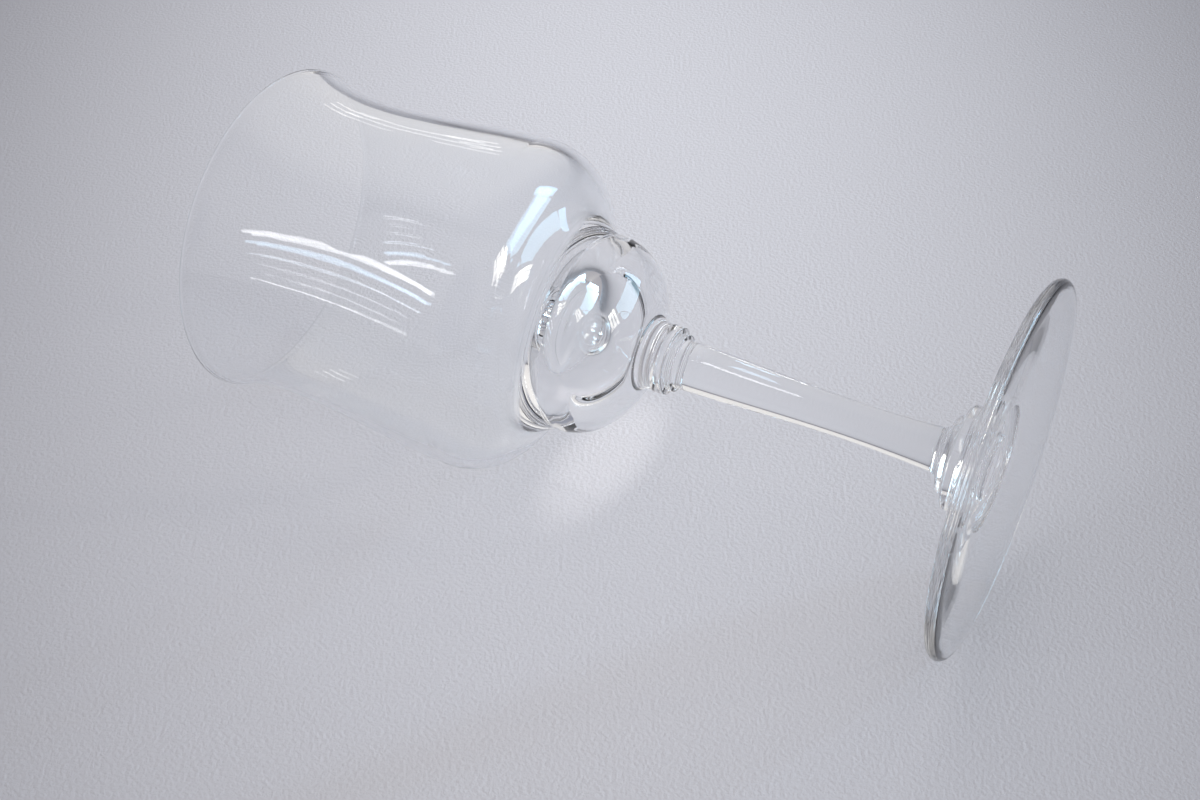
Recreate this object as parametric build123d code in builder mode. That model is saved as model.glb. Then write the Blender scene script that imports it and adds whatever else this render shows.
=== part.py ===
from build123d import *
from math import cos, radians, sin
import os

os.makedirs("parts", exist_ok=True)

# A stemmed goblet of clear glass, standing upright. Millimetres, +Z up along the glass's axis,
# origin at the centre of the plane that the foot rests on. Every piece is a body of revolution,
# and neighbours are fused on the flat disc or ring that they share.

# Foot: a shallow cone with a round edge, hollowed underneath
foot_radius = 38.0
foot_edge = 2.4  # thickness of the round edge
foot_rest = 1.6  # width of the flat ring that the foot stands on
foot_height = 8.0  # rest plane to the flat seat of the boss
foot_dish = 2.6  # rise of the underside towards the middle
recess_radius = 12.8
recess_depth = 1.5
recess_round = 0.7
pip_radius = 6.6  # low pip left standing in the recess

# Foot boss: two steps with round edges
boss_radius = 10.6
boss_height = 2.2
step_radius = 7.8
step_height = 2.0
step_round = 0.8

# Stem: solid, narrowest a third of the way up, flared where it stands on the boss
stem_length = 56.4
stem_base_radius = 6.2
stem_flare_height = 2.4
stem_low_radius = 4.5
stem_waist_radius = 4.0
stem_waist_height = 22.0
stem_top_radius = 5.1

# Neck ring: a low ring cut by fine grooves
neck_radius = 6.0
neck_height = 1.5
groove_count = 3
groove_radius = 0.13

# Collar: a plain band with soft edges
collar_radius = 7.15
collar_height = 2.7
collar_round = 0.4

# Knop: a thick oval bulb, dimpled by a shallow well open to the bowl
knop_height = 18.0
knop_foot_radius = 7.0
knop_radius = 21.0
knop_rise = 14.2  # from the bottom of the oval to its widest place
knop_belly_height = 16.2  # height of the widest place above the collar
knop_neck_angle = 66.0  # degrees below the widest place where the oval turns into the neck
crease_radius = 20.7  # outside, where the bowl meets the knop
well_radius = 9.4  # the well's mouth, level with the crease
well_side_radius = 6.8
well_side_height = 16.0
well_floor = 14.4  # glass left under the well

# Bowl: a thin bell with a flared lip and a round shoulder
bowl_height = 76.0
rim_radius = 35.7
rim_wall = 1.2
waist_radius = 32.85
waist_height = 58.5
waist_wall = 1.4
shoulder_reach = 35.6  # outside radius of the belly
shoulder_height = 18.6
shoulder_radius = 12.0  # radius of the shoulder's round
shoulder_turn = 66.0  # degrees
shoulder_wall = 2.1
floor_radius = 16.2  # a point on the inner floor, between shoulder and well
floor_height = 3.8

# Heights of the fused faces
boss_top = foot_height + boss_height + step_height
stem_top = boss_top + stem_length
neck_top = stem_top + neck_height
collar_top = neck_top + collar_height
crease = collar_top + knop_height
rim = crease + bowl_height


# The foot: half its section turned round the axis, then the ring-shaped recess
edge_radius = foot_edge / 2
edge_centre = foot_radius - edge_radius
with BuildPart() as foot:
    with BuildSketch(Plane.XZ):
        with BuildLine():
            seat = Line((0, foot_height), (boss_radius, foot_height))
            cone = Spline(seat @ 1, (edge_centre, foot_edge), tangents=[(1, -0.3), (1, -0.08)])
            edge = ThreePointArc(cone @ 1, (foot_radius, edge_radius), (edge_centre, 0))
            rest = Line(edge @ 1, (edge_centre - foot_rest, 0))
            dish = Spline(rest @ 1, (recess_radius, foot_dish), tangents=[(-1, 0.12), (-1, 0.08)])
            middle = Line(dish @ 1, (0, foot_dish))
            Line(middle @ 1, seat @ 0)
        make_face()
    revolve(axis=Axis.Z)
    with BuildSketch(Plane.XY.offset(foot_dish)):
        Circle(recess_radius)
        Circle(pip_radius, mode=Mode.SUBTRACT)
    recess = extrude(amount=recess_depth, mode=Mode.SUBTRACT)
    fillet(recess.edges().group_by(Axis.Z)[-1], recess_round)
foot.part.label = "foot"
export_step(foot.part, "parts/foot.step")


# The foot boss
with BuildPart() as foot_boss:
    with BuildSketch(Plane.XY.offset(foot_height)):
        Circle(boss_radius)
    extrude(amount=boss_height)
    fillet(foot_boss.edges().group_by(Axis.Z)[-1], step_round)
    with BuildSketch(Plane.XY.offset(foot_height + boss_height)):
        Circle(step_radius)
    extrude(amount=step_height)
    fillet(foot_boss.edges().group_by(Axis.Z)[-1], step_round)
foot_boss.part.label = "foot_boss"
export_step(foot_boss.part, "parts/foot_boss.step")


# The stem
with BuildPart() as stem:
    with BuildSketch(Plane.XZ):
        with BuildLine():
            base = Line((0, boss_top), (stem_base_radius, boss_top))
            flare = Spline(
                base @ 1,
                (stem_low_radius, boss_top + stem_flare_height),
                tangents=[(-1, 0.6), (-0.06, 1)],
            )
            shaft = Spline(
                flare @ 1,
                (stem_waist_radius, boss_top + stem_waist_height),
                (stem_top_radius, stem_top),
                tangents=[(-0.06, 1), (0.01, 1)],
            )
            head = Line(shaft @ 1, (0, stem_top))
            Line(head @ 1, base @ 0)
        make_face()
    revolve(axis=Axis.Z)
stem.part.label = "stem"
export_step(stem.part, "parts/stem.step")


# The neck ring, with its grooves evenly spaced down the side
groove_step = neck_height / (groove_count + 1)
with BuildPart() as neck_ring:
    with BuildSketch(Plane.XY.offset(stem_top)):
        Circle(neck_radius)
    extrude(amount=neck_height)
    with BuildSketch(Plane.XZ):
        with Locations([(neck_radius, stem_top + groove_step * (i + 1)) for i in range(groove_count)]):
            Circle(groove_radius)
    revolve(axis=Axis.Z, mode=Mode.SUBTRACT)
neck_ring.part.label = "neck_ring"
export_step(neck_ring.part, "parts/neck_ring.step")


# The collar
with BuildPart() as collar:
    with BuildSketch(Plane.XY.offset(neck_top)):
        Circle(collar_radius)
    extrude(amount=collar_height)
    fillet(collar.edges().filter_by(GeomType.CIRCLE), collar_round)
collar.part.label = "collar"
export_step(collar.part, "parts/collar.step")


# The knop
with BuildPart() as knop:
    with BuildSketch(Plane.XZ):
        with BuildLine():
            foot_face = Line((0, collar_top), (knop_foot_radius, collar_top))
            bulb = EllipticalCenterArc(
                (0, collar_top + knop_belly_height),
                knop_radius,
                knop_rise,
                start_angle=-knop_neck_angle,
                arc_size=knop_neck_angle,
            )
            Spline(foot_face @ 1, bulb @ 0, tangents=[(0, 1), bulb % 0])
            brow = Spline(bulb @ 1, (crease_radius, crease), tangents=[(0, 1), (-0.35, 1)])
            seat = Line(brow @ 1, (well_radius, crease))
            well = Spline(
                seat @ 1,
                (well_side_radius, collar_top + well_side_height),
                (0, collar_top + well_floor),
                tangents=[(-0.8, -1), (-1, 0)],
            )
            Line(well @ 1, foot_face @ 0)
        make_face()
    revolve(axis=Axis.Z)
knop.part.label = "knop"
export_step(knop.part, "parts/knop.step")


# The bowl: outside from the lip to the crease, across the fused ring, and back up the inside
shoulder_top = crease + shoulder_height
shoulder_centre = shoulder_reach - shoulder_radius
inner_round = shoulder_radius - shoulder_wall
shoulder_slope = (-sin(radians(shoulder_turn)), -cos(radians(shoulder_turn)))
lip = rim - rim_wall / 2
inner_rim = rim_radius - rim_wall
with BuildPart() as bowl:
    with BuildSketch(Plane.XZ):
        with BuildLine():
            outside = Spline(
                (rim_radius, lip),
                (waist_radius, crease + waist_height),
                (shoulder_reach, shoulder_top),
                tangents=[(-0.42, -1), (0, -1)],
            )
            shoulder = CenterArc(
                (shoulder_centre, shoulder_top), shoulder_radius, 0, -shoulder_turn
            )
            under = Spline(
                shoulder @ 1, (crease_radius, crease), tangents=[shoulder_slope, (-0.6, -1)]
            )
            ring = Line(under @ 1, (well_radius, crease))
            floor = Spline(
                ring @ 1,
                (floor_radius, crease + floor_height),
                (
                    shoulder_centre + inner_round * cos(radians(shoulder_turn)),
                    shoulder_top - inner_round * sin(radians(shoulder_turn)),
                ),
                tangents=[(0.5, 1), (-shoulder_slope[0], -shoulder_slope[1])],
            )
            inner_shoulder = CenterArc(
                (shoulder_centre, shoulder_top), inner_round, -shoulder_turn, shoulder_turn
            )
            inside = Spline(
                inner_shoulder @ 1,
                (waist_radius - waist_wall, crease + waist_height),
                (inner_rim, lip),
                tangents=[(0, 1), (0.42, 1)],
            )
            ThreePointArc(inside @ 1, ((rim_radius + inner_rim) / 2, rim), outside @ 0)
        make_face()
    revolve(axis=Axis.Z)
bowl.part.label = "bowl"
export_step(bowl.part, "parts/bowl.step")
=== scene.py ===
import math

import bpy
from mathutils import Matrix, Vector


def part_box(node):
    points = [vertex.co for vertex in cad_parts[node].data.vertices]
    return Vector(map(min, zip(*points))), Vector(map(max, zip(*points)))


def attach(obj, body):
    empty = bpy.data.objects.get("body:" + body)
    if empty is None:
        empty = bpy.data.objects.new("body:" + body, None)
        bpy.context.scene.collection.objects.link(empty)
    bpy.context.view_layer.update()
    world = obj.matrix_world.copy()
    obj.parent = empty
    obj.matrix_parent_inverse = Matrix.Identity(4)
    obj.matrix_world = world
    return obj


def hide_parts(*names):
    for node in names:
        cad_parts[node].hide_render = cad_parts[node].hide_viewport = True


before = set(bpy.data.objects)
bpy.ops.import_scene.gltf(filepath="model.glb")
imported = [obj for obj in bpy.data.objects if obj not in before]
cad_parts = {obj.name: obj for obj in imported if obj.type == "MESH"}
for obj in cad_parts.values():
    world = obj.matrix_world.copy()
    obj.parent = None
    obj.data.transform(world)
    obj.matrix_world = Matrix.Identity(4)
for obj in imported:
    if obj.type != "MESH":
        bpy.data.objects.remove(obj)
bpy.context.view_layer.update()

mm = 0.001
bpy.ops.object.select_all(action="DESELECT")
print("frame loaded:", ", ".join(sorted(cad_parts)))


# the frame stands the glass upright, so the table it lies on is a wall beside it
footLow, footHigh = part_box("foot")
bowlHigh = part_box("bowl")[1]
footRadius = footHigh.x
rimRadius = bowlHigh.x
glassHeight = bowlHigh.z - footLow.z

# the glass rests on the edge of its foot and on its lip
lean = math.atan2(footRadius - rimRadius, glassHeight)
tableUp = Vector((0, -math.cos(lean), -math.sin(lean)))
footEdgeHeight = 1.2 * mm  # the middle of the foot's round edge
tableGap = 0.1 * mm
tablePoint = Vector((0, footRadius, footLow.z + footEdgeHeight)) - tableUp * tableGap

camera = {
    "lens": 57.39,
    "sensor": 36.0,
    "clip": (0.01, 20),
    "place": (-0.26206, -0.25418, -0.05564),
    "forward": (0.6487, 0.6734, 0.3548),
}

camPlace = Vector(camera["place"])
forward = Vector(camera["forward"]).normalized()
# the camera is held level with the table
right = forward.cross(tableUp).normalized()
up = right.cross(forward).normalized()
camData = bpy.data.cameras.new("camera")
camData.lens = camera["lens"]
camData.sensor_width = camera["sensor"]
camData.clip_start = camera["clip"][0]
camData.clip_end = camera["clip"][1]
cam = bpy.data.objects.new("camera", camData)
bpy.context.scene.collection.objects.link(cam)
cam.matrix_world = Matrix.Translation(camPlace) @ Matrix((right, up, -forward)).transposed().to_4x4()
bpy.context.scene.camera = cam
print("camera placed")

# flat directions over the table, away from the camera and to its right
awayDir = (forward - tableUp * forward.dot(tableUp)).normalized()
rightDir = awayDir.cross(tableUp)
centre = Vector((0, 0, glassHeight / 2))


def overTable(turnDeg, riseDeg, distance):
    # a place at this turn from straight ahead, positive to the right, and this rise over the table
    t = math.radians(turnDeg)
    r = math.radians(riseDeg)
    flat = awayDir * math.cos(t) + rightDir * math.sin(t)
    return centre + (flat * math.cos(r) + tableUp * math.sin(r)) * distance


def newMaterial(name):
    mat = bpy.data.materials.new(name)
    mat.use_nodes = True
    mat.node_tree.nodes.clear()
    return mat


def addNode(tree, kind, place, **values):
    node = tree.nodes.new(kind)
    node.location = place
    for key, value in values.items():
        setattr(node, key, value)
    return node


def makeGroup(name, inputs, outputs):
    group = bpy.data.node_groups.new(name, "ShaderNodeTree")
    for label, kind, value in inputs:
        socket = group.interface.new_socket(label, in_out="INPUT", socket_type=kind)
        if value is not None:
            socket.default_value = value
    for label, kind in outputs:
        group.interface.new_socket(label, in_out="OUTPUT", socket_type=kind)
    start = addNode(group, "NodeGroupInput", (-900, 0))
    end = addNode(group, "NodeGroupOutput", (600, 0))
    return group, start, end


def waveGroup():
    # the slow unevenness of pressed and blown glass, as a height
    group, start, end = makeGroup(
        "glassWave",
        [("Vector", "NodeSocketVector", None), ("Scale", "NodeSocketFloat", 60.0),
         ("Ripple", "NodeSocketFloat", 0.3)],
        [("Height", "NodeSocketFloat")],
    )
    slow = addNode(group, "ShaderNodeTexNoise", (-500, 150))
    slow.inputs["Detail"].default_value = 1.0
    fast = addNode(group, "ShaderNodeTexNoise", (-500, -150))
    fast.inputs["Detail"].default_value = 0.0
    faster = addNode(group, "ShaderNodeMath", (-700, -150), operation="MULTIPLY")
    faster.inputs[1].default_value = 3.1
    mix = addNode(group, "ShaderNodeMix", (0, 0), data_type="FLOAT")
    link = group.links.new
    link(start.outputs["Vector"], slow.inputs["Vector"])
    link(start.outputs["Vector"], fast.inputs["Vector"])
    link(start.outputs["Scale"], slow.inputs["Scale"])
    link(start.outputs["Scale"], faster.inputs[0])
    link(faster.outputs[0], fast.inputs["Scale"])
    link(start.outputs["Ripple"], mix.inputs["Factor"])
    link(slow.outputs["Fac"], mix.inputs["A"])
    link(fast.outputs["Fac"], mix.inputs["B"])
    link(mix.outputs["Result"], end.inputs["Height"])
    return group


def smudgeGroup():
    # faint wiped-dry smudges, as a roughness
    group, start, end = makeGroup(
        "glassSmudge",
        [("Vector", "NodeSocketVector", None), ("Scale", "NodeSocketFloat", 40.0),
         ("Clean", "NodeSocketFloat", 0.0), ("Smudged", "NodeSocketFloat", 0.05)],
        [("Roughness", "NodeSocketFloat")],
    )
    noise = addNode(group, "ShaderNodeTexNoise", (-500, 0))
    noise.inputs["Detail"].default_value = 4.0
    noise.inputs["Distortion"].default_value = 0.6
    spread = addNode(group, "ShaderNodeMapRange", (-200, 0))
    spread.inputs["From Min"].default_value = 0.52
    spread.inputs["From Max"].default_value = 0.72
    link = group.links.new
    link(start.outputs["Vector"], noise.inputs["Vector"])
    link(start.outputs["Scale"], noise.inputs["Scale"])
    link(noise.outputs["Fac"], spread.inputs["Value"])
    link(start.outputs["Clean"], spread.inputs["To Min"])
    link(start.outputs["Smudged"], spread.inputs["To Max"])
    link(spread.outputs["Result"], end.inputs["Roughness"])
    return group


glassWave = waveGroup()
glassSmudge = smudgeGroup()


# one melt of clear glass: its tint face on and edge on, and what share of a lamp's light goes through
melt = {
    "index": 1.5, "clear": (0.985, 0.99, 0.995), "edge": (0.93, 0.95, 0.965), "edgeBlend": 0.35,
    "through": 0.993, "shadowBlend": 0.3,
}

# each piece's own surface; shadowEdge and shadowPower say how dark a shadow its edges throw
bowlFinish = {
    "stretch": (1, 1, 0.45), "waveScale": 70, "ripple": 0.35, "waveHeight": 0.00004,
    "smudge": 0.012, "shadowEdge": 0.66, "shadowPower": 3.0,
}
solidFinish = {
    "stretch": (1, 1, 1), "waveScale": 50, "ripple": 0.1, "waveHeight": 0.00002,
    "smudge": 0.02, "shadowEdge": 0.40, "shadowPower": 2.0,
}
footFinish = {
    "stretch": (1, 1, 1), "waveScale": 30, "ripple": 0.1, "waveHeight": 0.00003,
    "smudge": 0.012, "shadowEdge": 0.05, "shadowPower": 1.5,
}


def glassMaterial(name, finish):
    mat = newMaterial(name)
    tree = mat.node_tree
    link = tree.links.new
    coords = addNode(tree, "ShaderNodeTexCoord", (-1400, 0))
    mapping = addNode(tree, "ShaderNodeMapping", (-1200, 0))
    mapping.inputs["Scale"].default_value = finish["stretch"]
    wave = addNode(tree, "ShaderNodeGroup", (-900, -200), node_tree=glassWave)
    wave.inputs["Scale"].default_value = finish["waveScale"]
    wave.inputs["Ripple"].default_value = finish["ripple"]
    bump = addNode(tree, "ShaderNodeBump", (-600, -200))
    bump.inputs["Strength"].default_value = 1.0
    bump.inputs["Distance"].default_value = finish["waveHeight"]
    smudge = addNode(tree, "ShaderNodeGroup", (-900, 100), node_tree=glassSmudge)
    smudge.inputs["Smudged"].default_value = finish["smudge"]
    facing = addNode(tree, "ShaderNodeLayerWeight", (-900, 350))
    facing.inputs["Blend"].default_value = melt["edgeBlend"]
    tint = addNode(tree, "ShaderNodeMix", (-600, 300), data_type="RGBA")
    tint.inputs["A"].default_value = (*melt["clear"], 1)
    tint.inputs["B"].default_value = (*melt["edge"], 1)
    glass = addNode(tree, "ShaderNodeBsdfPrincipled", (-250, 0))
    glass.inputs["Metallic"].default_value = 0.0
    glass.inputs["IOR"].default_value = melt["index"]
    glass.inputs["Transmission Weight"].default_value = 1.0
    # lamps and the room shine straight through, weaker where the wall is met edge on
    shade = addNode(tree, "ShaderNodeMix", (-600, 550), data_type="RGBA")
    shade.inputs["A"].default_value = (melt["through"],) * 3 + (1,)
    shade.inputs["B"].default_value = (finish["shadowEdge"],) * 3 + (1,)
    steep = addNode(tree, "ShaderNodeLayerWeight", (-900, 550))
    steep.inputs["Blend"].default_value = melt["shadowBlend"]
    steeper = addNode(tree, "ShaderNodeMath", (-750, 550), operation="POWER")
    steeper.inputs[1].default_value = finish["shadowPower"]
    through = addNode(tree, "ShaderNodeBsdfTransparent", (-250, 400))
    path = addNode(tree, "ShaderNodeLightPath", (-450, 750))
    lit = addNode(tree, "ShaderNodeMath", (-250, 700), operation="MAXIMUM")
    mix = addNode(tree, "ShaderNodeMixShader", (150, 100))
    out = addNode(tree, "ShaderNodeOutputMaterial", (400, 0))
    link(steep.outputs["Facing"], steeper.inputs[0])
    link(steeper.outputs[0], shade.inputs["Factor"])
    link(shade.outputs["Result"], through.inputs["Color"])
    link(path.outputs["Is Shadow Ray"], lit.inputs[0])
    link(path.outputs["Is Diffuse Ray"], lit.inputs[1])
    link(lit.outputs[0], mix.inputs["Fac"])
    link(coords.outputs["Object"], mapping.inputs["Vector"])
    link(mapping.outputs["Vector"], wave.inputs["Vector"])
    link(coords.outputs["Object"], smudge.inputs["Vector"])
    link(wave.outputs["Height"], bump.inputs["Height"])
    link(bump.outputs["Normal"], glass.inputs["Normal"])
    link(smudge.outputs["Roughness"], glass.inputs["Roughness"])
    link(facing.outputs["Facing"], tint.inputs["Factor"])
    link(tint.outputs["Result"], glass.inputs["Base Color"])
    link(glass.outputs["BSDF"], mix.inputs[1])
    link(through.outputs["BSDF"], mix.inputs[2])
    link(mix.outputs["Shader"], out.inputs["Surface"])
    return mat


def fusedMaterial():
    # the face where two pieces are one body of glass: nothing is seen there
    mat = newMaterial("fusedJoint")
    tree = mat.node_tree
    clear = addNode(tree, "ShaderNodeBsdfTransparent", (0, 0))
    out = addNode(tree, "ShaderNodeOutputMaterial", (300, 0))
    tree.links.new(clear.outputs["BSDF"], out.inputs["Surface"])
    return mat


fusedJoint = fusedMaterial()


# an outline is a chain of Bezier runs (start, handle, handle, end), each point (radius, height) in mm
def straight(a, b):
    return [(a, None, None, b)]


def arc(centreAt, radii, startDeg, endDeg):
    steps = max(1, math.ceil(abs(endDeg - startDeg) / 90 - 1e-9))
    step = math.radians(endDeg - startDeg) / steps
    reach = 4 / 3 * math.tan(step / 4)
    runs = []
    for i in range(steps):
        a = math.radians(startDeg) + step * i
        b = a + step
        ends = []
        for t, sign in ((a, 1), (b, -1)):
            point = (centreAt[0] + radii[0] * math.cos(t), centreAt[1] + radii[1] * math.sin(t))
            pull = (-radii[0] * math.sin(t) * reach * sign, radii[1] * math.cos(t) * reach * sign)
            ends.append((point, (point[0] + pull[0], point[1] + pull[1])))
        runs.append((ends[0][0], ends[0][1], ends[1][1], ends[1][0]))
    return runs


def flowing(points, startDir, endDir):
    # a smooth line through two or three points that leaves and arrives in the given directions
    spots = [Vector(p) for p in points]
    spans = [(b - a).length for a, b in zip(spots, spots[1:])]
    pulls = [Vector(startDir).normalized(), Vector(endDir).normalized()]
    if len(spots) == 3:
        h, k = spans
        way = (spots[1] - spots[0]) / h**2 + (spots[2] - spots[1]) / k**2
        middle = (3 * way - pulls[0] / h - pulls[1] / k) / (2 / h + 2 / k)
        pulls.insert(1, middle)
    runs = []
    for i, span in enumerate(spans):
        leave = spots[i] + pulls[i] * span / 3
        arrive = spots[i + 1] - pulls[i + 1] * span / 3
        runs.append((tuple(spots[i]), tuple(leave), tuple(arrive), tuple(spots[i + 1])))
    return runs


lathing = {"turnSteps": 144, "runSteps": 12, "weld": 1e-6, "sliver": 1e-7, "sharpFrom": 28}


def lathe(name, runs, closed=False):
    # the outline is drawn as a curve beside the axis, made a mesh and spun round
    bpy.ops.object.select_all(action="DESELECT")
    bpy.ops.curve.primitive_bezier_curve_add(location=(0, 0, 0))
    curve = bpy.context.object
    curve.data.dimensions = "3D"
    curve.data.resolution_u = lathing["runSteps"]
    spline = curve.data.splines[0]
    spline.bezier_points.add(len(runs) + (0 if closed else 1) - 2)
    spline.use_cyclic_u = closed
    points = spline.bezier_points
    for point in points:
        point.handle_left_type = "FREE"
        point.handle_right_type = "FREE"

    def inSpace(p):
        return Vector((p[0] * mm, 0, p[1] * mm))

    count = len(points)
    for i, (start, leave, arrive, end) in enumerate(runs):
        a = points[i]
        b = points[(i + 1) % count]
        a.co = inSpace(start)
        b.co = inSpace(end)
        if leave is None:
            a.handle_right = a.co
            b.handle_left = b.co
            a.handle_right_type = "VECTOR"
            b.handle_left_type = "VECTOR"
        else:
            a.handle_right = inSpace(leave)
            b.handle_left = inSpace(arrive)
    bpy.ops.object.convert(target="MESH")
    piece = bpy.context.object
    piece.name = name
    piece.data.name = name
    bpy.ops.object.mode_set(mode="EDIT")
    bpy.ops.mesh.select_all(action="SELECT")
    bpy.ops.mesh.spin(steps=lathing["turnSteps"], angle=2 * math.pi, center=(0, 0, 0), axis=(0, 0, 1))
    bpy.ops.mesh.select_all(action="SELECT")
    bpy.ops.mesh.remove_doubles(threshold=lathing["weld"])
    bpy.ops.mesh.dissolve_degenerate(threshold=lathing["sliver"])
    bpy.ops.mesh.select_all(action="SELECT")
    bpy.ops.mesh.normals_make_consistent(inside=False)
    bpy.ops.object.mode_set(mode="OBJECT")
    bpy.ops.object.shade_smooth_by_angle(angle=math.radians(lathing["sharpFrom"]))
    return piece


def hideJoint(piece, height, radius, inner=0.0):
    # the faces that lie on a fused joint show nothing
    if len(piece.data.materials) < 2:
        piece.data.materials.append(fusedJoint)
    near = 0.002 * mm
    for face in piece.data.polygons:
        spots = [piece.data.vertices[v].co for v in face.vertices]
        reach = [math.hypot(spot.x, spot.y) for spot in spots]
        flat = all(abs(spot.z - height * mm) < near for spot in spots)
        if flat and max(reach) < radius * mm + near and min(reach) > inner * mm - near:
            face.material_index = 1


def settle(piece, node):
    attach(piece, "root")
    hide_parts(node)
    print("made", piece.name, len(piece.data.polygons), "faces")


def level(node):
    low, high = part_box(node)
    return low.z / mm, high.z / mm


blownGlass = glassMaterial("blownGlass", bowlFinish)
solidGlass = glassMaterial("solidGlass", solidFinish)
pressedGlass = glassMaterial("pressedGlass", footFinish)
print("glass materials made")


def makeFoot():
    size = {
        "edge": 2.4, "rest": 1.6, "dish": 2.6, "seatRadius": 10.6,
        "recessRadius": 12.8, "recessDepth": 1.5, "pipRadius": 6.6, "round": 0.7,
    }
    base, seat = level("foot")
    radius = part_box("foot")[1].x / mm
    half = size["edge"] / 2
    rimCentre = radius - half
    rest = rimCentre - size["rest"]
    dish = base + size["dish"]
    roof = dish + size["recessDepth"]
    turn = size["round"]
    outer = size["recessRadius"]
    pip = size["pipRadius"]
    runs = straight((0, seat), (size["seatRadius"], seat))
    runs += flowing([(size["seatRadius"], seat), (rimCentre, base + size["edge"])], (1, -0.3), (1, -0.08))
    runs += arc((rimCentre, base + half), (half, half), 90, -90)
    runs += straight((rimCentre, base), (rest, base))
    runs += flowing([(rest, base), (outer, dish)], (-1, 0.12), (-1, 0.08))
    runs += straight((outer, dish), (outer, roof - turn))
    runs += arc((outer - turn, roof - turn), (turn, turn), 0, 90)
    runs += straight((outer - turn, roof), (pip + turn, roof))
    runs += arc((pip + turn, roof - turn), (turn, turn), 90, 180)
    runs += straight((pip, roof - turn), (pip, dish))
    runs += straight((pip, dish), (0, dish))
    piece = lathe("footGlass", runs)
    piece.data.materials.append(pressedGlass)
    hideJoint(piece, seat, size["seatRadius"])
    settle(piece, "foot")


def makeBoss():
    size = {"step": 2.2, "upperRadius": 7.8, "round": 0.8, "stemRadius": 6.2}
    base, top = level("foot_boss")
    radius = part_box("foot_boss")[1].x / mm
    mid = base + size["step"]
    turn = size["round"]
    upper = size["upperRadius"]
    runs = straight((0, base), (radius, base))
    runs += straight((radius, base), (radius, mid - turn))
    runs += arc((radius - turn, mid - turn), (turn, turn), 0, 90)
    runs += straight((radius - turn, mid), (upper, mid))
    runs += straight((upper, mid), (upper, top - turn))
    runs += arc((upper - turn, top - turn), (turn, turn), 0, 90)
    runs += straight((upper - turn, top), (size["stemRadius"], top))
    runs += straight((size["stemRadius"], top), (0, top))
    piece = lathe("bossGlass", runs)
    piece.data.materials.append(solidGlass)
    hideJoint(piece, base, radius)
    hideJoint(piece, top, size["stemRadius"])
    settle(piece, "foot_boss")


def makeStem():
    size = {
        "base": 6.2, "flareHeight": 2.4, "low": 4.5, "waist": 4.0, "waistHeight": 22.0, "top": 5.1,
    }
    base, top = level("stem")
    flare = (size["low"], base + size["flareHeight"])
    waist = (size["waist"], base + size["waistHeight"])
    runs = straight((0, base), (size["base"], base))
    runs += flowing([(size["base"], base), flare], (-1, 0.6), (-0.06, 1))
    runs += flowing([flare, waist, (size["top"], top)], (-0.06, 1), (0.01, 1))
    runs += straight((size["top"], top), (0, top))
    piece = lathe("stemGlass", runs)
    piece.data.materials.append(solidGlass)
    hideJoint(piece, base, size["base"])
    hideJoint(piece, top, size["top"])
    settle(piece, "stem")


def makeNeckRing():
    size = {"stemRadius": 5.1, "beads": 4, "bulge": 0.12}
    base, top = level("neck_ring")
    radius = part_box("neck_ring")[1].x / mm
    bead = (top - base) / size["beads"]
    core = radius - size["bulge"]
    runs = straight((0, base), (size["stemRadius"], base))
    runs += straight((size["stemRadius"], base), (core, base))
    for i in range(size["beads"]):
        runs += arc((core, base + bead * (i + 0.5)), (size["bulge"], bead / 2), -90, 90)
    runs += straight((core, top), (0, top))
    piece = lathe("neckRingGlass", runs)
    piece.data.materials.append(solidGlass)
    hideJoint(piece, base, size["stemRadius"])
    hideJoint(piece, top, radius)
    settle(piece, "neck_ring")


def makeCollar():
    size = {"ringRadius": 5.88, "round": 0.4}
    base, top = level("collar")
    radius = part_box("collar")[1].x / mm
    turn = size["round"]
    flat = radius - turn
    runs = straight((0, base), (size["ringRadius"], base))
    runs += straight((size["ringRadius"], base), (flat, base))
    runs += arc((flat, base + turn), (turn, turn), -90, 0)
    runs += straight((radius, base + turn), (radius, top - turn))
    runs += arc((flat, top - turn), (turn, turn), 0, 90)
    runs += straight((flat, top), (0, top))
    piece = lathe("collarGlass", runs)
    piece.data.materials.append(solidGlass)
    hideJoint(piece, base, size["ringRadius"])
    hideJoint(piece, top, flat)
    settle(piece, "collar")


def makeKnop():
    size = {
        "collarFlat": 6.75, "foot": 7.0, "rise": 14.2, "belly": 16.2, "neckTurn": 66.0,
        "crease": 20.7, "wellMouth": 9.4, "wellSide": 6.8, "wellSideHeight": 16.0, "wellFloor": 14.4,
    }
    base, top = level("knop")
    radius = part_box("knop")[1].x / mm
    belly = base + size["belly"]
    turn = math.radians(size["neckTurn"])
    neck = (radius * math.cos(turn), belly - size["rise"] * math.sin(turn))
    neckDir = (radius * math.sin(turn), size["rise"] * math.cos(turn))
    mouth = size["wellMouth"]
    runs = straight((0, base), (size["collarFlat"], base))
    runs += straight((size["collarFlat"], base), (size["foot"], base))
    runs += flowing([(size["foot"], base), neck], (0, 1), neckDir)
    runs += arc((0, belly), (radius, size["rise"]), -size["neckTurn"], 0)
    runs += flowing([(radius, belly), (size["crease"], top)], (0, 1), (-0.35, 1))
    runs += straight((size["crease"], top), (mouth, top))
    wellSide = (size["wellSide"], base + size["wellSideHeight"])
    runs += flowing([(mouth, top), wellSide, (0, base + size["wellFloor"])], (-0.8, -1), (-1, 0))
    piece = lathe("knopGlass", runs)
    piece.data.materials.append(solidGlass)
    hideJoint(piece, base, size["collarFlat"])
    hideJoint(piece, top, size["crease"], mouth)
    settle(piece, "knop")


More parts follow.
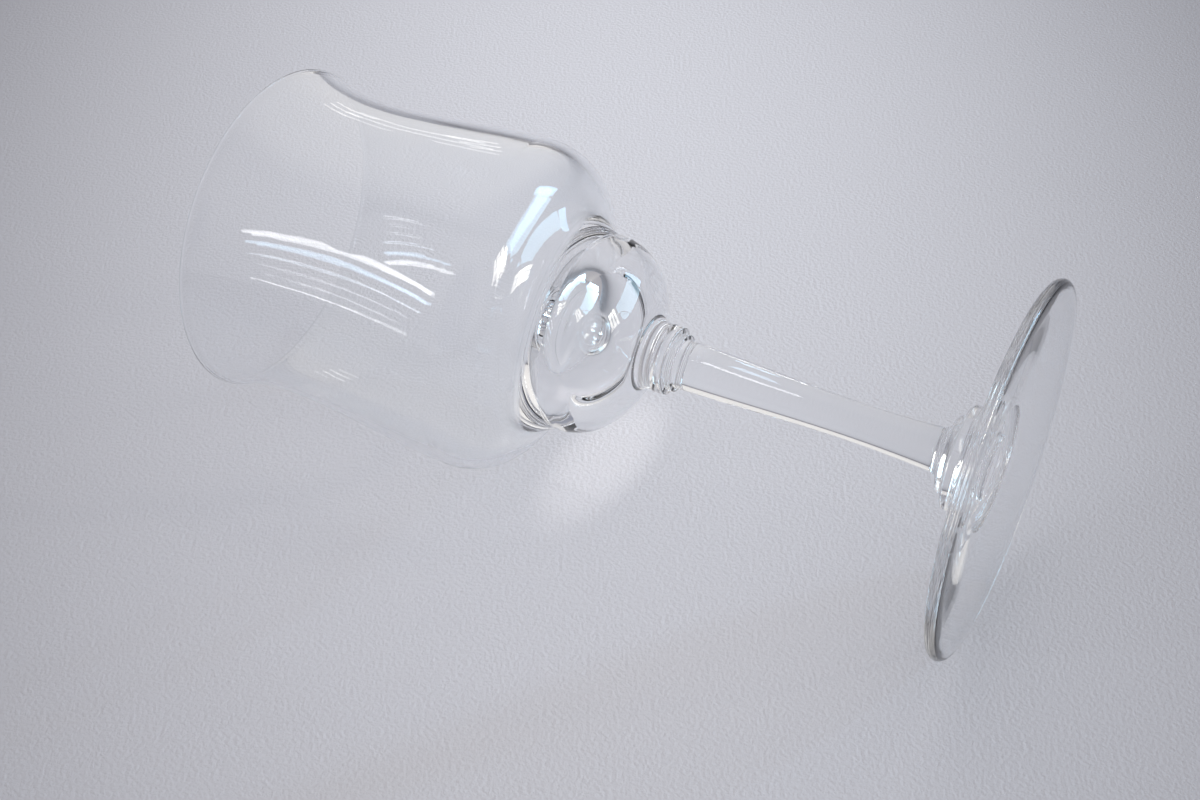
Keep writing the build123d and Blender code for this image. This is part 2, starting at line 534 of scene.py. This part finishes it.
def makeBowl():
    size = {
        "crease": 20.7, "wellMouth": 9.4, "waist": 32.85, "waistHeight": 58.5,
        "shoulder": 35.6, "shoulderHeight": 18.6, "shoulderRound": 12.0, "shoulderTurn": 66.0,
        "lipWall": 1.2, "waistWall": 1.4, "shoulderWall": 2.1, "floorRadius": 16.2, "floorHeight": 3.8,
    }
    base, top = level("bowl")
    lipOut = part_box("bowl")[1].x / mm
    lipWall = size["lipWall"]
    lip = top - lipWall / 2
    waist = base + size["waistHeight"]
    turn = math.radians(size["shoulderTurn"])
    bend = (size["shoulder"] - size["shoulderRound"], base + size["shoulderHeight"])
    big = size["shoulderRound"]
    small = big - size["shoulderWall"]
    slope = (-math.sin(turn), -math.cos(turn))
    underStart = (bend[0] + big * math.cos(turn), bend[1] - big * math.sin(turn))
    floorEnd = (bend[0] + small * math.cos(turn), bend[1] - small * math.sin(turn))
    belly = (size["shoulder"], bend[1])
    runs = flowing([(lipOut, lip), (size["waist"], waist), belly], (-0.42, -1), (0, -1))
    runs += arc(bend, (big, big), 0, -size["shoulderTurn"])
    runs += flowing([underStart, (size["crease"], base)], slope, (-0.6, -1))
    runs += straight((size["crease"], base), (size["wellMouth"], base))
    floor = (size["floorRadius"], base + size["floorHeight"])
    runs += flowing([(size["wellMouth"], base), floor, floorEnd], (0.5, 1), (-slope[0], -slope[1]))
    runs += arc(bend, (small, small), -size["shoulderTurn"], 0)
    innerBelly = (size["shoulder"] - size["shoulderWall"], bend[1])
    innerWaist = (size["waist"] - size["waistWall"], waist)
    runs += flowing([innerBelly, innerWaist, (lipOut - lipWall, lip)], (0, 1), (0.42, 1))
    runs += arc((lipOut - lipWall / 2, lip), (lipWall / 2, lipWall / 2), 180, 0)
    piece = lathe("bowlGlass", runs, closed=True)
    piece.data.materials.append(blownGlass)
    hideJoint(piece, base, size["crease"], size["wellMouth"])
    settle(piece, "bowl")


makeFoot()
makeBoss()
makeStem()
makeNeckRing()
makeCollar()
makeKnop()
makeBowl()


# the table: pale textured paper, seen only from the side that the glass lies on
# the paper's colour holds a painted pool of light: far is the painted shade it darkens to away from the
# glass, spread over reach round centre; light and dark are its random tone
paper = {
    "light": (0.68, 0.66, 0.685), "dark": (0.655, 0.636, 0.66), "far": (0.17, 0.16, 0.175),
    "reach": (0.30, 0.66), "centre": (-0.006, 0.13), "grain": 1200, "grainDepth": 0.0003,
    "grainStrength": 0.6, "cloud": 800, "roughness": 0.9, "shine": 0.2, "size": 4.0,
}


def paperMaterial():
    mat = newMaterial("paper")
    tree = mat.node_tree
    link = tree.links.new
    coords = addNode(tree, "ShaderNodeTexCoord", (-1200, 0))
    grain = addNode(tree, "ShaderNodeTexNoise", (-900, -100))
    grain.inputs["Scale"].default_value = paper["grain"]
    grain.inputs["Detail"].default_value = 3
    cloud = addNode(tree, "ShaderNodeTexNoise", (-900, 200))
    cloud.inputs["Scale"].default_value = paper["cloud"]
    cloud.inputs["Detail"].default_value = 4
    bump = addNode(tree, "ShaderNodeBump", (-600, -100))
    bump.inputs["Strength"].default_value = paper["grainStrength"]
    bump.inputs["Distance"].default_value = paper["grainDepth"]
    tone = addNode(tree, "ShaderNodeMix", (-600, 200), data_type="RGBA")
    tone.inputs["A"].default_value = (*paper["dark"], 1)
    tone.inputs["B"].default_value = (*paper["light"], 1)
    # a painted pool of light: the sheet's colour is brightest round the glass and falls off to painted
    # shade at its edges
    reachX, reachY = paper["reach"]
    centreX, centreY = paper["centre"]
    paintedLightPool = addNode(tree, "ShaderNodeMapping", (-1050, 450))
    paintedLightPool.inputs["Location"].default_value = (-centreX / reachX, -centreY / reachY, 0)
    paintedLightPool.inputs["Scale"].default_value = (1 / reachX, 1 / reachY, 1)
    away = addNode(tree, "ShaderNodeVectorMath", (-850, 450), operation="LENGTH")
    paintedFalloff = addNode(tree, "ShaderNodeMapRange", (-600, 450), interpolation_type="SMOOTHSTEP")
    edge = addNode(tree, "ShaderNodeMix", (-400, 300), data_type="RGBA")
    edge.inputs["B"].default_value = (*paper["far"], 1)
    sheet = addNode(tree, "ShaderNodeBsdfPrincipled", (-100, 0))
    sheet.inputs["Roughness"].default_value = paper["roughness"]
    sheet.inputs["Specular IOR Level"].default_value = paper["shine"]
    clear = addNode(tree, "ShaderNodeBsdfTransparent", (-100, -400))
    back = addNode(tree, "ShaderNodeNewGeometry", (-100, 300))
    mix = addNode(tree, "ShaderNodeMixShader", (200, 0))
    out = addNode(tree, "ShaderNodeOutputMaterial", (400, 0))
    link(coords.outputs["Object"], grain.inputs["Vector"])
    link(coords.outputs["Object"], cloud.inputs["Vector"])
    link(coords.outputs["Object"], paintedLightPool.inputs["Vector"])
    link(paintedLightPool.outputs["Vector"], away.inputs[0])
    link(away.outputs["Value"], paintedFalloff.inputs["Value"])
    link(paintedFalloff.outputs["Result"], edge.inputs["Factor"])
    link(grain.outputs["Fac"], bump.inputs["Height"])
    link(cloud.outputs["Fac"], tone.inputs["Factor"])
    link(tone.outputs["Result"], edge.inputs["A"])
    link(edge.outputs["Result"], sheet.inputs["Base Color"])
    link(bump.outputs["Normal"], sheet.inputs["Normal"])
    link(back.outputs["Backfacing"], mix.inputs["Fac"])
    link(sheet.outputs["BSDF"], mix.inputs[1])
    link(clear.outputs["BSDF"], mix.inputs[2])
    link(mix.outputs["Shader"], out.inputs["Surface"])
    return mat


bpy.ops.mesh.primitive_plane_add(size=paper["size"], location=(0, 0, 0))
table = bpy.context.object
table.name = "table"
table.rotation_mode = "QUATERNION"
table.rotation_quaternion = Matrix((rightDir, awayDir, tableUp)).transposed().to_quaternion()
table.location = centre - tableUp * (centre - tablePoint).dot(tableUp)
table.data.materials.append(paperMaterial())
print("table laid")


def addLamp(name, kind, power, colour):
    data = bpy.data.lights.new(name, kind)
    data.energy = power
    data.color = colour
    lamp = bpy.data.objects.new(name, data)
    bpy.context.scene.collection.objects.link(lamp)
    return lamp


def addWindow(name, spec):
    # a window of separate panes that faces the glass
    middle = overTable(spec["turn"], spec["rise"], spec["distance"])
    back = (middle - centre).normalized()
    across = tableUp.cross(back).normalized()
    along = back.cross(across).normalized()
    turned = Matrix((across, along, back)).transposed().to_4x4()
    paneWidth = spec["width"] / spec["columns"]
    paneHeight = spec["height"] / spec["rows"]
    bar = spec["bar"]
    for row in range(spec["rows"]):
        for column in range(spec["columns"]):
            offset = across * (column + 0.5 - spec["columns"] / 2) * paneWidth
            offset = offset + along * (row + 0.5 - spec["rows"] / 2) * paneHeight
            width = paneWidth - bar
            height = paneHeight - bar
            label = "%s_%d_%d" % (name, row, column)
            lamp = addLamp(label, "AREA", spec["glow"] * width * height, spec["colour"])
            lamp.data.shape = "RECTANGLE"
            lamp.data.size = width
            lamp.data.size_y = height
            lamp.matrix_world = Matrix.Translation(middle + offset) @ turned


# glow is the power for each square metre of pane
skyWindow = {
    "turn": 86, "rise": 13, "distance": 2.2, "width": 1.30, "height": 0.80, "columns": 1, "rows": 1,
    "bar": 0.02, "glow": 19.0, "colour": (0.50, 0.80, 1.0),
}
addWindow("skyWindow", skyWindow)

brightSky = {
    "turn": 66, "rise": 15, "distance": 2.1, "width": 0.22, "height": 0.80, "columns": 1, "rows": 1,
    "bar": 0.0, "glow": 24.0, "colour": (0.44, 0.74, 1.0),
}
addWindow("brightSky", brightSky)

curtainWindow = {
    "turn": 111, "rise": 14, "distance": 2.2, "width": 0.40, "height": 0.80, "columns": 3, "rows": 1,
    "bar": 0.03, "glow": 62.0, "colour": (1.0, 0.98, 0.88),
}
addWindow("curtainWindow", curtainWindow)

farWindow = {
    "turn": -4, "rise": 17, "distance": 2.6, "width": 0.36, "height": 0.60, "columns": 1, "rows": 3,
    "bar": 0.14, "glow": 6.0, "colour": (1.0, 0.98, 0.93),
}
addWindow("farWindow", farWindow)

# the slits of light between the slats of a blind
blind = {"turn": -113, "distance": 2.4, "columns": 1, "rows": 1, "bar": 0.0}
blindSlits = [
    {"rise": 31, "height": 0.085, "width": 0.85, "glow": 26.0, "colour": (1.0, 1.0, 1.0)},
    {"rise": 25, "height": 0.075, "width": 0.80, "glow": 20.0, "colour": (0.62, 0.82, 1.0)},
    {"rise": 18, "height": 0.022, "width": 0.80, "glow": 26.0, "colour": (0.85, 0.93, 1.0)},
    {"rise": 12, "height": 0.010, "width": 0.60, "glow": 26.0, "colour": (1.0, 1.0, 1.0)},
    {"rise": 7, "height": 0.010, "width": 0.45, "glow": 26.0, "colour": (1.0, 1.0, 1.0)},
    {"rise": 2, "height": 0.020, "width": 0.80, "glow": 26.0, "colour": (1.0, 1.0, 1.0)},
]
for i, slit in enumerate(blindSlits):
    addWindow("leftBlind%d" % i, {**blind, **slit})
print("windows placed")


gathered = {
    "near": (0.0077, 0.0224), "far": (-0.0131, -0.0150), "rise": 42, "turn": 100, "distance": 0.45,
    "power": 2.4, "spread": 7.0, "thin": 0.30, "colour": (1.0, 0.98, 0.95),
}


def addGatheredLight():
    # the streak of light that the knop gathers on the paper, laid there by a narrow lamp
    spots = [table.matrix_world @ Vector((*gathered[end], 0)) for end in ("near", "far")]
    middle = (spots[0] + spots[1]) / 2
    aim = (centre - overTable(gathered["turn"], gathered["rise"], 1.0)).normalized()
    along = spots[1] - spots[0]
    along = (along - aim * along.dot(aim)).normalized()
    across = along.cross(-aim).normalized()
    lamp = addLamp("gathered", "SPOT", gathered["power"], gathered["colour"])
    lamp.data.spot_size = math.radians(gathered["spread"])
    lamp.data.spot_blend = 1.0
    lamp.data.shadow_soft_size = 0.0
    turned = Matrix((across * gathered["thin"], along, -aim)).transposed().to_4x4()
    lamp.matrix_world = Matrix.Translation(middle - aim * gathered["distance"]) @ turned


room = {
    "skirting": (0.40, 0.39, 0.42), "wall": (0.46, 0.45, 0.47), "ceiling": (0.55, 0.54, 0.56),
    "bright": (0.50, 0.48, 0.43), "brightTurn": 0, "brightRise": 35, "brightFrom": 0.55, "brightTo": 0.92,
    "behind": (0.26, 0.27, 0.33), "behindTurn": 175, "behindRise": 25,
    "behindFrom": 0.82, "behindTo": 0.92,
    "wallAt": 0.30, "ceilingAt": 0.85,
}


def makeWorld():
    # a pale room, darkest near the floor and behind the camera, with a bright warm wall ahead
    world = bpy.data.worlds.new("room")
    bpy.context.scene.world = world
    world.use_nodes = True
    tree = world.node_tree
    tree.nodes.clear()
    link = tree.links.new
    coords = addNode(tree, "ShaderNodeTexCoord", (-900, 0))
    rise = addNode(tree, "ShaderNodeVectorMath", (-700, 0), operation="DOT_PRODUCT")
    rise.inputs[1].default_value = tableUp
    walls = addNode(tree, "ShaderNodeValToRGB", (-500, 0))
    stops = walls.color_ramp.elements
    stops[0].position = 0.0
    stops[0].color = (*room["skirting"], 1)
    stops[1].position = room["ceilingAt"]
    stops[1].color = (*room["ceiling"], 1)
    middle = stops.new(room["wallAt"])
    middle.color = (*room["wall"], 1)
    ahead = addNode(tree, "ShaderNodeVectorMath", (-700, -300), operation="DOT_PRODUCT")
    ahead.inputs[1].default_value = overTable(room["brightTurn"], room["brightRise"], 1.0) - centre
    near = addNode(tree, "ShaderNodeMapRange", (-500, -300), interpolation_type="SMOOTHSTEP")
    near.inputs["From Min"].default_value = room["brightFrom"]
    near.inputs["From Max"].default_value = room["brightTo"]
    bright = addNode(tree, "ShaderNodeMix", (-250, -300), data_type="RGBA")
    bright.inputs["A"].default_value = (0, 0, 0, 1)
    bright.inputs["B"].default_value = (*room["bright"], 1)
    tone = addNode(tree, "ShaderNodeMix", (-50, 0), data_type="RGBA", blend_type="ADD")
    tone.inputs["Factor"].default_value = 1.0
    back = addNode(tree, "ShaderNodeVectorMath", (-700, -600), operation="DOT_PRODUCT")
    back.inputs[1].default_value = overTable(room["behindTurn"], room["behindRise"], 1.0) - centre
    dim = addNode(tree, "ShaderNodeMapRange", (-500, -600), interpolation_type="SMOOTHSTEP")
    dim.inputs["From Min"].default_value = room["behindFrom"]
    dim.inputs["From Max"].default_value = room["behindTo"]
    final = addNode(tree, "ShaderNodeMix", (150, 0), data_type="RGBA")
    final.inputs["B"].default_value = (*room["behind"], 1)
    glow = addNode(tree, "ShaderNodeBackground", (350, 0))
    glow.inputs["Strength"].default_value = 1.0
    out = addNode(tree, "ShaderNodeOutputWorld", (550, 0))
    link(coords.outputs["Generated"], rise.inputs[0])
    link(coords.outputs["Generated"], ahead.inputs[0])
    link(rise.outputs["Value"], walls.inputs["Fac"])
    link(ahead.outputs["Value"], near.inputs["Value"])
    link(near.outputs["Result"], bright.inputs["Factor"])
    link(walls.outputs["Color"], tone.inputs["A"])
    link(bright.outputs["Result"], tone.inputs["B"])
    link(coords.outputs["Generated"], back.inputs[0])
    link(back.outputs["Value"], dim.inputs["Value"])
    link(dim.outputs["Result"], final.inputs["Factor"])
    link(tone.outputs["Result"], final.inputs["A"])
    link(final.outputs["Result"], glow.inputs["Color"])
    link(glow.outputs["Background"], out.inputs["Surface"])


# suns that only throw the soft edged shadows
gleams = [
    {"turn": 63, "rise": 17, "strength": 1.1, "colour": (0.50, 0.72, 1.0)},
    {"turn": 92, "rise": 19, "strength": 1.0, "colour": (1.0, 0.93, 0.82)},
    {"turn": -112, "rise": 20, "strength": 0.45, "colour": (0.80, 0.90, 1.0)},
]


def addGleam(i, spec):
    # the bright middle of a window, not seen in the glass itself
    back = (overTable(spec["turn"], spec["rise"], 1.0) - centre).normalized()
    lamp = addLamp("gleam%d" % i, "SUN", spec["strength"], spec["colour"])
    lamp.data.angle = math.radians(3.0)
    lamp.visible_glossy = False
    lamp.visible_transmission = False
    lamp.rotation_mode = "QUATERNION"
    lamp.rotation_quaternion = back.to_track_quat("Z", "Y")


for i, spec in enumerate(gleams):
    addGleam(i, spec)
bpy.context.view_layer.update()
addGatheredLight()
makeWorld()
print("lamps and room made")

scene = bpy.context.scene
scene.view_settings.view_transform = "Standard"
scene.view_settings.look = "None"
scene.cycles.max_bounces = 32
scene.cycles.transmission_bounces = 28
scene.cycles.glossy_bounces = 12
scene.cycles.transparent_max_bounces = 32
scene.cycles.caustics_reflective = False
scene.cycles.caustics_refractive = False

print("scene ready")
